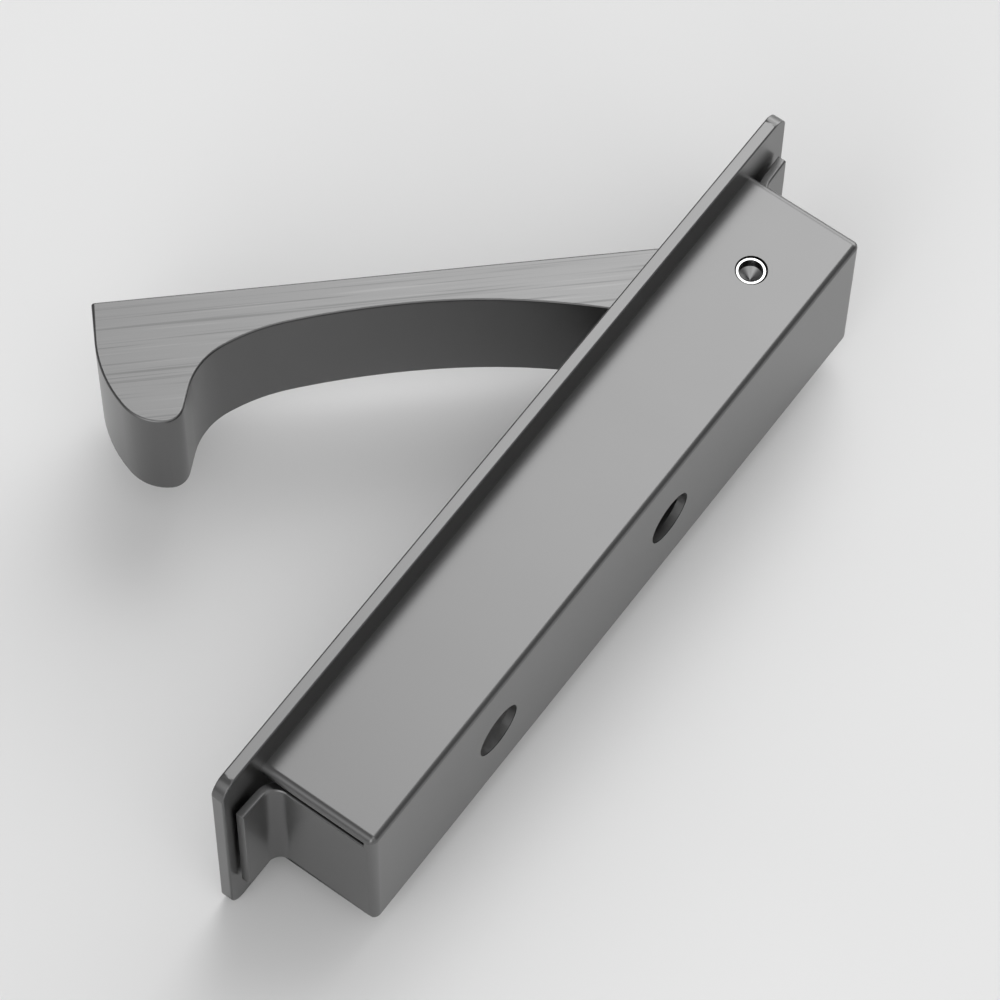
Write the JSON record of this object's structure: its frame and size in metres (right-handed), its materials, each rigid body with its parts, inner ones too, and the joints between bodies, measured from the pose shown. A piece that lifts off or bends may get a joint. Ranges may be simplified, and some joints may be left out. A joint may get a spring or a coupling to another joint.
{
  "type": "recessed pull handle",
  "caption": "Recessed edge pull: a flat slotted plate, a folded sheet box behind it, and a thick hooked lever that swings out through the slot on a cross pin.",
  "frame": {"origin": "middle of the face plate's back face, which sits against the door's edge", "axes": "+X along the plate towards the pin's end, +Y out of the plate's front, +Z along the pin"},
  "size_m": [0.1, 0.0629, 0.0294],
  "materials": {
    "satin_steel": "satin, fine-grained",
    "lever_steel": "satin, with fine lines along the straight edge",
    "pin_steel": "bright turned",
    "washer_steel": "plain"
  },
  "bodies": {
    "case": {"face_plate": "satin_steel", "housing": "satin_steel", "pivot_pin": "pin_steel", "lower_washer": "washer_steel", "upper_washer": "washer_steel", "wave_washer": "washer_steel"},
    "lever": {"lever": "lever_steel"}
  },
  "joints": [
    {"name": "lever_hinge", "type": "hinge", "parent": "case", "child": "lever", "pos_m": [0.0338, -0.00685, 0], "axis": [0, 0, 1], "range_deg": [0, 43.9]}
  ]
}
